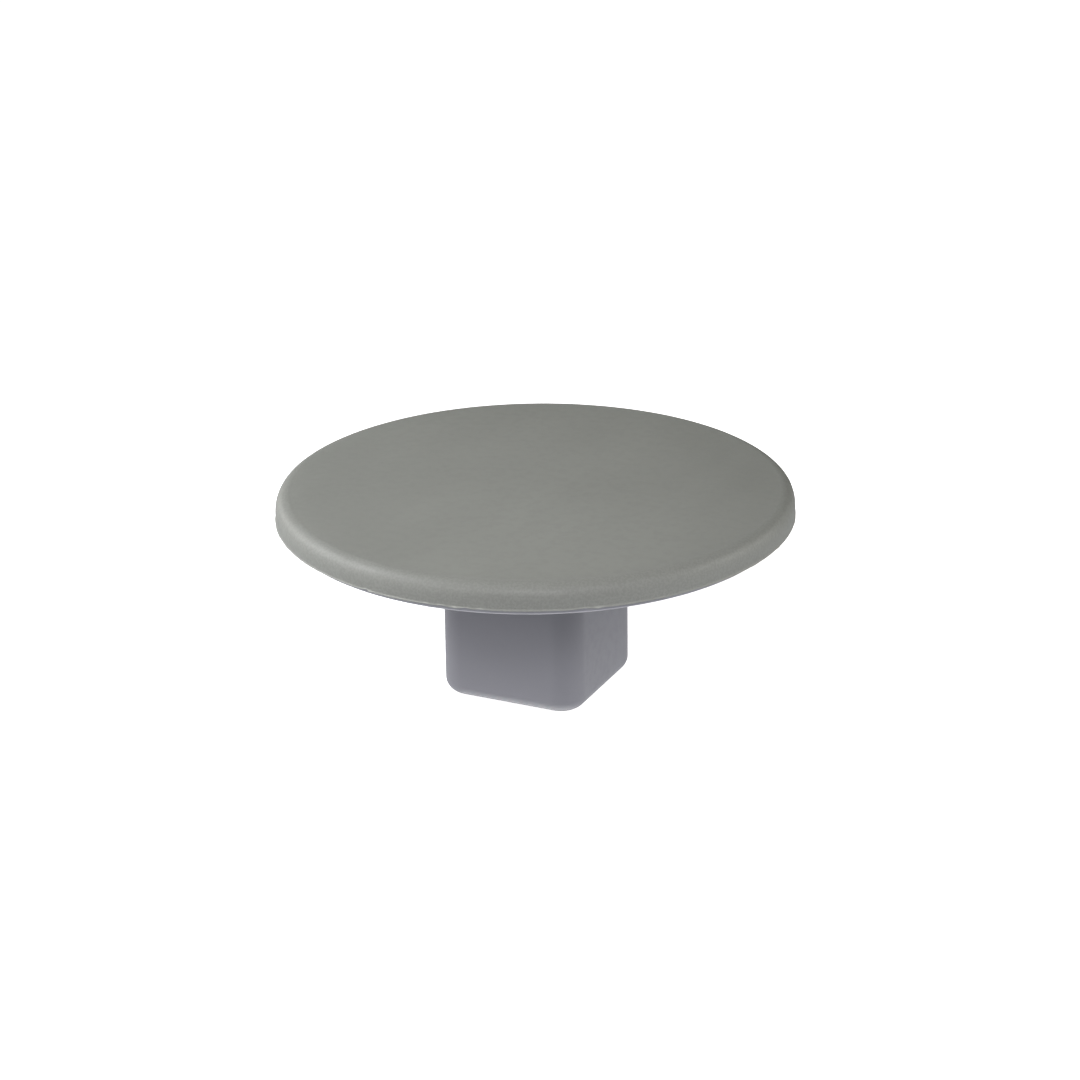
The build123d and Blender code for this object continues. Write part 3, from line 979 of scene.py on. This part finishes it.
@dataclass
class BasePlate:
    """The lower moulding: a disc whose edge shows as a thin lip, with a spigot, a window and a groove."""

    gasket_width: float
    thickness: float = 4.5 * MM
    edge: float = 1.0 * MM  # Radius of the rim's lower edge
    bevel: float = 0.3 * MM
    spigot: tuple[float, float] = (110.0 * MM, 113.0 * MM)  # Its inner and outer radius
    window: float = 35.6 * MM  # Half its width
    window_corner: float = 12.8 * MM
    flare: float = 0.35 * MM  # How far the window opens at both faces
    groove_gap: float = 0.4 * MM  # Room on each side of the gasket
    groove_depth: float = 1.5 * MM
    pin_circles: tuple[float, float] = (106.0 * MM, 90.0 * MM)  # Where the ejector marks are
    pin_radius: float = 2.2 * MM
    pin_depth: float = 0.25 * MM
    ripple: float = 0.04 * MM  # Unevenness of the rim

    def __post_init__(self) -> None:
        """Reads the disc's radius and levels, and the gasket's outer radius, from the frame."""
        low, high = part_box("base_plate")
        self.radius, self.under, self.spigot_top = high.x, low.z, high.z
        self.top = self.under + self.thickness
        self.gasket_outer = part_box("seat_gasket")[1].x

    def profile(self) -> np.ndarray:
        """Gives the section from the top's middle, over the spigot and the rim, to the underside's middle.

        Returns:
            Radii and heights, as steps by 2.
        """
        inner, outer = self.spigot
        bevel, low, crest = self.bevel, self.under + self.bevel, self.spigot_top - self.bevel
        groove_out = self.gasket_outer + self.groove_gap
        groove_in = self.gasket_outer - self.gasket_width - self.groove_gap
        top = [(HUB, self.top), (inner, self.top), (inner, crest), (inner + bevel, self.spigot_top)]
        top += [(outer - bevel, self.spigot_top), (outer, crest), (outer, self.top)]
        rim_top = arc((self.radius - bevel, self.top - bevel), bevel, 90.0, 0.0, 5)
        rim_foot = arc((self.radius - self.edge, self.under + self.edge), self.edge, 0.0, -90.0, 9)
        roof = self.under + self.groove_depth
        under = [(groove_out + bevel, self.under), (groove_out, low), (groove_out, roof), (groove_in, roof)]
        under += [(groove_in, low), (groove_in - bevel, self.under), (HUB, self.under)]
        return np.concatenate([top, rim_top, rim_foot, under])

    def window_cutter(self) -> bpy.types.Mesh:
        """Makes the window's cutter: a square shaft that flares a little at both faces."""
        flare, over, shut = self.flare, MM, -25.0 * MM
        high = [(shut, self.top + over), (flare + over, self.top + over), (flare, self.top)]
        low = [(0.0, self.under + flare), (flare, self.under), (flare + over, self.under - over)]
        steps = [*high, (0.0, self.top - flare), *low, (shut, self.under - over)]
        growth, levels = np.array(steps).T
        corner = np.maximum(self.window_corner + growth, HUB)
        return grid_mesh("cutter", [SquareOutline().loft(self.window + growth, corner, levels)])

    def hole_cutter(self, cap: ScrewSet, flange: ScrewSet) -> bpy.types.Mesh:
        """Makes the cutter of the countersunk holes for both sets of screws."""
        mouth, throat = cap.head_radius + cap.gap, cap.radius + cap.gap
        sink = self.under + 0.1 * MM + cap.head_height
        profile = [(throat, self.top + MM), (throat, sink), (mouth, self.under), (mouth, self.under - MM)]
        return turned_cutter(profile, cap.places + flange.places, 48)

    def pin_cutter(self) -> bpy.types.Mesh:
        """Makes the cutter of the shallow round marks that ejector pins leave on the underside."""
        foot = (self.pin_radius + 0.1 * MM, self.under - MM)
        profile = [(self.pin_radius, self.under + self.pin_depth), foot]
        places = [place for radius in self.pin_circles for place in circle_places(8, radius, 0.0)]
        return turned_cutter(profile, places, 32)

    def build(self, cap: ScrewSet, flange: ScrewSet) -> None:
        """Makes, cuts, dresses and settles the plate, with holes for both sets of screws."""
        angles = turn_angles(720)
        profile = spread(self.profile(), angles)
        rim = smooth_step((profile[..., 0] - self.spigot[1]) / (2.0 * MM))
        profile[..., 0] -= self.ripple * np.abs(periodic_noise(angles, (4, 7, 11, 19, 33), 21)) * rim
        piece = formed("base_disc", [revolved(profile, angles)])
        carve(piece, self.window_cutter(), self.hole_cutter(cap, flange), self.pin_cutter())
        # The lip's outer edge gets the painted light of the pale rim.
        finish = replace(BASE_GREY, rim=self.radius - 0.9 * MM)
        settle(piece, Slot.BASE, finish.material(), "base_plate")


@dataclass
class PlugBox:
    """The deep square plug: a cup with round corners and a round foot, a neck and a clamped flange."""

    wall: float = 4.0 * MM
    corner: float = 12.5 * MM  # Radius of the upright corners
    foot: float = 6.8 * MM  # Radius of the foot
    neck_step: float = 0.2 * MM  # How much the neck is smaller on each side
    flange_corner: float = 12.0 * MM
    flange_thickness: float = 3.0 * MM
    screw_inset: float = 8.5 * MM  # From the flange's edge to its screws
    drill_foot: float = 3.5 * MM  # Level under the flange where its screw holes end
    edge: float = 0.3 * MM  # Radius of the flange's edges and of the body's upper edge
    sink: float = 0.10 * MM  # How far the middles of the flat sides sink in
    gate_radius: float = 3.6 * MM  # Radius of the round gate mark under the foot

    def __post_init__(self) -> None:
        """Reads the flange's width and the plug's levels and width from the frame and the record."""
        low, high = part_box("plug_box")
        mounts = {mount["name"]: mount for mount in frame["record"]["mounts"]}
        self.bottom, self.top, self.flange = low.z, high.z, high.x
        self.half = max(abs(part) for part in mounts["plug_side_east"]["pos_m"][:2])

    def screw_places(self) -> Places:
        """Gives the plan places of the flange's screws."""
        offset = self.flange - self.screw_inset
        return [(x * offset, y * offset) for x in (-1.0, 1.0) for y in (-1.0, 1.0)]

    def levels(self) -> np.ndarray:
        """Gives half width, corner radius and height of every level from inside the cup to under its foot.

        Every fillet moves the half width and the corner radius by the same amount, so that the corner radius
        is the half width less a core.

        Returns:
            Half widths, corner radii and heights, as levels by 3.
        """
        core, edge, bore = self.half - self.corner, self.edge, self.half - self.wall
        inner_foot = self.foot - self.wall
        inside = arc((bore - inner_foot, self.bottom + self.wall + inner_foot), inner_foot, -90.0, 0.0, 7)
        flange_low = self.top - self.flange_thickness
        flange_top = arc((self.flange - edge, self.top - edge), edge, 90.0, 0.0, 4)
        flange_foot = arc((self.flange - edge, flange_low + edge), edge, 0.0, -90.0, 4)
        neck = [(self.half - self.neck_step, z) for z in (flange_low, 0.0)]
        shoulder = arc((self.half - edge, -edge), edge, 70.0, 0.0, 4)
        side = np.linspace((self.half, -2.0 * MM), (self.half, self.bottom + self.foot + 2.0 * MM), 24)
        foot = arc((self.half - self.foot, self.bottom + self.foot), self.foot, 0.0, -90.0, 16)
        parts = [
            ([(HUB, self.bottom + self.wall)], 0.5 * HUB),
            ([*inside, (bore, self.top)], core),
            ([*flange_top, *flange_foot], self.flange - self.flange_corner),
            ([*neck, *shoulder, *side, *foot], core),
            ([(HUB, self.bottom)], 0.5 * HUB),
        ]
        return np.array([(x, x - inset, z) for profile, inset in parts for x, z in profile])

    def build(self, flange_screws: ScrewSet) -> None:
        """Makes, drills, dresses and settles the plug.

        The flat sides sink by the sink depth times a squared sine of the height and the squared distance of
        the sign vector from a corner.

        Args:
            flange_screws: The screws that pass the flange.
        """
        outline = SquareOutline(corner_steps=24, side_steps=20)
        half, corner, height = self.levels().T
        grid = outline.loft(half, corner, height)
        signs, normals = outline.directions()
        across = 1.0 - np.abs(signs).min(axis=-1) ** 2
        rise = np.clip(height / self.bottom, 0.0, 1.0) * (half > self.half - self.foot)
        depth = self.sink * np.sin(math.pi * rise)[:, None] ** 2 * across
        grid[..., :2] -= depth[..., None] * normals
        piece = formed("plug_cup", [grid])
        throat = flange_screws.radius + flange_screws.gap
        drill = [(throat, self.top + MM), (throat, self.drill_foot)]
        carve(piece, turned_cutter(drill, flange_screws.places, 48), self.gate_cutter())
        settle(piece, Slot.PLUG, PLUG_GREY.material(), "plug_box")

    def gate_cutter(self) -> bpy.types.Mesh:
        """Makes the cutter of the gate mark: a shallow dish round a low nub where the sprue broke off."""
        reach, low = 0.7 * MM, self.bottom - MM
        dish = arc((self.gate_radius, self.bottom - 0.2 * MM), reach, 100.0, 0.0, 8)
        nub = [(x * MM, self.bottom + z * MM) for x, z in ((0.3, 0.05), (0.9, 0.1), (1.2, 0.45))]
        profile = np.concatenate([nub, dish, [(self.gate_radius + reach, low), (CORE, low)]])
        return grid_mesh("cutter", [revolved(profile, turn_angles(64))])


@dataclass
class SeatGasket:
    """The foam ring under the disc, which stands out of its groove and takes up rough ground."""

    width: float = 10.0 * MM  # Across the ring
    edge: float = 0.5 * MM  # Radius of its edges
    ripple: float = 0.04 * MM  # Unevenness of its free face

    def build(self) -> None:
        """Makes, dresses and settles the gasket."""
        low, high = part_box("seat_gasket")
        angles = turn_angles(512)
        profile = spread(tube_profile(high.x - self.width, high.x, low.z, high.z, self.edge), angles)
        free = profile[..., 1] < low.z + self.edge
        profile[..., 1] += self.ripple * np.abs(periodic_noise(angles, (6, 11, 17, 31, 59), 31)) * free
        piece = formed("gasket_ring", [revolved(profile, angles)], Ends.LOOP)
        settle(piece, Slot.GASKET, GASKET_FOAM.material(), "seat_gasket")


def dress_node(node: str, finish: bpy.types.Material) -> None:
    """Gives a CAD node that stays in view its finish."""
    piece = frame["nodes"][node]
    piece.data.materials.clear()
    piece.data.materials.append(finish)
    log.info("%s: kept, finish %s", node, finish.name)


# --- Studio ---


def outward(bearing: float, rise: float) -> Vector:
    """Gives the unit vector at a bearing from +X and a height angle, both in radians."""
    return Vector((math.cos(bearing) * math.cos(rise), math.sin(bearing) * math.cos(rise), math.sin(rise)))


@dataclass(frozen=True)
class Viewpoint:
    """Where the camera stands and how it looks at the disc. Angles are in degrees."""

    azimuth: float = 25.50  # Its turn about Z from looking along +Y
    elevation: float = 21.88
    roll: float = -0.735  # Its turn about its own axis
    distance: float = 1.5426
    lens: float = 111.40  # In millimetres
    offset: Point = (0.00225, -0.02473)  # The aim point's shift right and up from the middle of the top
    aim_height: float = 14.7 * MM  # Height of the disc's top

    def bearing(self) -> float:
        """Gives the viewer's bearing from +X, in radians."""
        return math.radians(self.azimuth - 90.0)

    def build(self) -> None:
        """Makes the camera.

        The level right and up vectors are turned about the line of sight by the roll. The camera then stands
        off the aim point along the line of sight.
        """
        turn, rise, roll = (math.radians(angle) for angle in (self.azimuth, self.elevation, self.roll))
        level = Vector((math.cos(turn), math.sin(turn), 0.0))
        back = outward(self.bearing(), rise)
        right = level * math.cos(roll) + back.cross(level) * math.sin(roll)
        up = back.cross(right)
        aim = Vector((0.0, 0.0, self.aim_height)) + right * self.offset[0] + up * self.offset[1]
        data = bpy.data.cameras.new("viewpoint")
        data.lens, data.sensor_width, data.clip_start = self.lens, 36.0, 0.01
        camera = linked("viewpoint", data)
        axes = Matrix((right, up, back)).transposed().to_4x4()
        camera.matrix_world = Matrix.Translation(aim + back * self.distance) @ axes
        bpy.context.scene.camera = camera


@dataclass(frozen=True)
class SoftBox:
    """A square soft light that looks at the object. Angles are in degrees."""

    name: str
    azimuth: float  # Its bearing from the viewer's side, to the viewer's right
    elevation: float
    distance: float  # From the aim point
    size: float
    power: Colour  # In watts

    def build(self, view: Viewpoint) -> None:
        """Makes the light, turned to its aim."""
        light = bpy.data.lights.new(self.name, "AREA")
        light.shape, light.size = "SQUARE", self.size
        light.energy = max(self.power)
        light.color = shade(self.power, 1.0 / light.energy)
        away = outward(math.radians(self.azimuth) + view.bearing(), math.radians(self.elevation))
        lamp = linked(self.name, light)
        lamp.location = Vector((0.0, 0.0, view.aim_height)) + away * self.distance
        lamp.rotation_euler = away.to_track_quat("Z", "Y").to_euler()
        lamp.visible_camera = False


LIGHTS = (
    SoftBox("left_side", -90.0, 22.0, 1.2, 0.7, (7.00, 6.88, 6.92)),
    SoftBox("left_back", -135.0, 11.0, 1.2, 0.4, (1.86, 1.78, 1.72)),
    SoftBox("left_front", -45.0, 25.0, 1.2, 0.7, (1.25, 1.24, 1.22)),
    SoftBox("left_near", -90.0, 35.0, 0.5, 0.2, (1.10, 1.13, 1.16)),
    SoftBox("front", 0.0, 36.0, 1.2, 0.35, (2.30, 2.30, 2.32)),
    SoftBox("front_low", 0.0, 29.0, 1.2, 0.35, (3.20, 3.16, 3.20)),
    SoftBox("front_high", 0.0, 50.0, 1.2, 0.5, (0.35, 0.35, 0.34)),
    SoftBox("right_front", 30.0, 36.0, 1.2, 0.35, (2.20, 2.18, 2.34)),
    SoftBox("right_side", 90.0, 22.0, 1.2, 0.7, (4.25, 4.25, 3.90)),
    SoftBox("right_low", 90.0, 14.0, 1.2, 0.55, (0.60, 0.56, 0.66)),
    SoftBox("right_back", 120.0, 12.0, 1.2, 0.5, (0.70, 0.70, 0.66)),
    SoftBox("back_near", 180.0, 35.0, 0.5, 0.2, (0.113, 0.113, 0.106)),
    SoftBox("below", 0.0, -90.0, 0.0955, 1.0, (2.10, 2.12, 2.23)),
    SoftBox("below_far", 0.0, -90.0, 0.6, 0.5, (1.60, 1.60, 1.56)),
)


@dataclass(frozen=True)
class Studio:
    """A pale seamless floor, a pale surround and soft lights.

    The floor and the surround look pale and take shadows, but throw no light back, as in a large room.
    """

    lights: tuple[SoftBox, ...] = LIGHTS
    world: Colour = (0.004, 0.004, 0.004)  # Light that comes from the surround
    pale: float = 0.97  # Own brightness of the floor, as it looks
    floor_size: float = 9.0
    floor_gap: float = 0.2 * MM  # Below the foot, so that the two faces don't share one plane

    def floor(self, level: float) -> None:
        """Makes the floor, which shows from above only."""
        half = 0.5 * self.floor_size
        corners = [(-half, -half, level), (half, -half, level), (half, half, level), (-half, half, level)]
        mesh = bpy.data.meshes.new("floor")
        mesh.from_pydata(corners, [], [(0, 1, 2, 3)])
        graph = Graph("floor_white")
        skin: Feeds = {"Base Color": (0.90, 0.90, 0.90, 1.0), "Roughness": 0.9, "Specular IOR Level": 0.0}
        glow: Feeds = {"Emission Color": WHITE, "Emission Strength": self.pale}
        graph.feed(graph.shader, skin | glow)
        seen, side = graph.add("ShaderNodeLightPath"), graph.add("ShaderNodeNewGeometry")
        above = graph.maths("SUBTRACT", 1.0, side.outputs["Backfacing"])
        share = graph.maths("MULTIPLY", seen.outputs["Is Camera Ray"], above)
        clear = graph.add("ShaderNodeBsdfTransparent")
        mix = graph.add("ShaderNodeMixShader", {0: share, 1: clear.outputs[0], 2: graph.shader.outputs[0]})
        graph.feed(graph.material.node_tree.nodes["Material Output"], {"Surface": mix.outputs[0]})
        mesh.materials.append(graph.material)
        linked("floor", mesh)

    def surround(self) -> bpy.types.World:
        """Makes the surround: pale to look at, with its own measured light on the object."""
        world = bpy.data.worlds.new("surround")
        world.use_nodes = True
        tree = world.node_tree
        path, mix = tree.nodes.new("ShaderNodeLightPath"), tree.nodes.new("ShaderNodeMix")
        mix.data_type = "RGBA"
        mix.inputs[MIX_FIRST].default_value = (*self.world, 1.0)
        mix.inputs[MIX_SECOND].default_value = WHITE
        tree.links.new(path.outputs["Is Camera Ray"], mix.inputs["Factor"])
        tree.links.new(mix.outputs[MIX_RESULT], tree.nodes["Background"].inputs["Color"])
        return world

    def build(self, level: float, view: Viewpoint) -> None:
        """Makes the floor at a level, the surround, the lights and the camera."""
        scene = bpy.context.scene
        scene.view_settings.view_transform = "Standard"
        scene.world = self.surround()
        self.floor(level - self.floor_gap)
        for light in self.lights:
            light.build(view)
        view.build()


@dataclass
class SocketCover:
    """The whole cover, put together from its pieces."""

    cap: CoverCap = field(default_factory=CoverCap)
    plug: PlugBox = field(default_factory=PlugBox)
    gasket: SeatGasket = field(default_factory=SeatGasket)

    def build(self) -> None:
        """Makes every new piece and dresses the CAD nodes that stay."""
        steel = SCREW_STEEL.material()
        ribs, base = CapRibs(self.cap.ceiling), BasePlate(self.gasket.width)
        cap_screws = ScrewSet("cap_screws", ribs.boss_places)
        flange_screws = ScrewSet("flange_screws", self.plug.screw_places())
        self.cap.build()
        ribs.build()
        base.build(cap_screws, flange_screws)
        self.plug.build(flange_screws)
        self.gasket.build()
        for screws in (cap_screws, flange_screws):
            screws.build(steel)
        dress_node("cap_inserts", INSERT_BRASS.material())
        dress_node("clamp_frame", FRAME_ZINC.material())
        dress_node("cord_seal", SEAL_RUBBER.material())


def main() -> None:
    """Builds the cover and its studio."""
    logging.basicConfig(level=logging.INFO, format="%(name)s: %(message)s")
    SocketCover().build()
    Studio().build(CAD_BOX[0][2], Viewpoint())


if __name__ == "__main__":
    main()
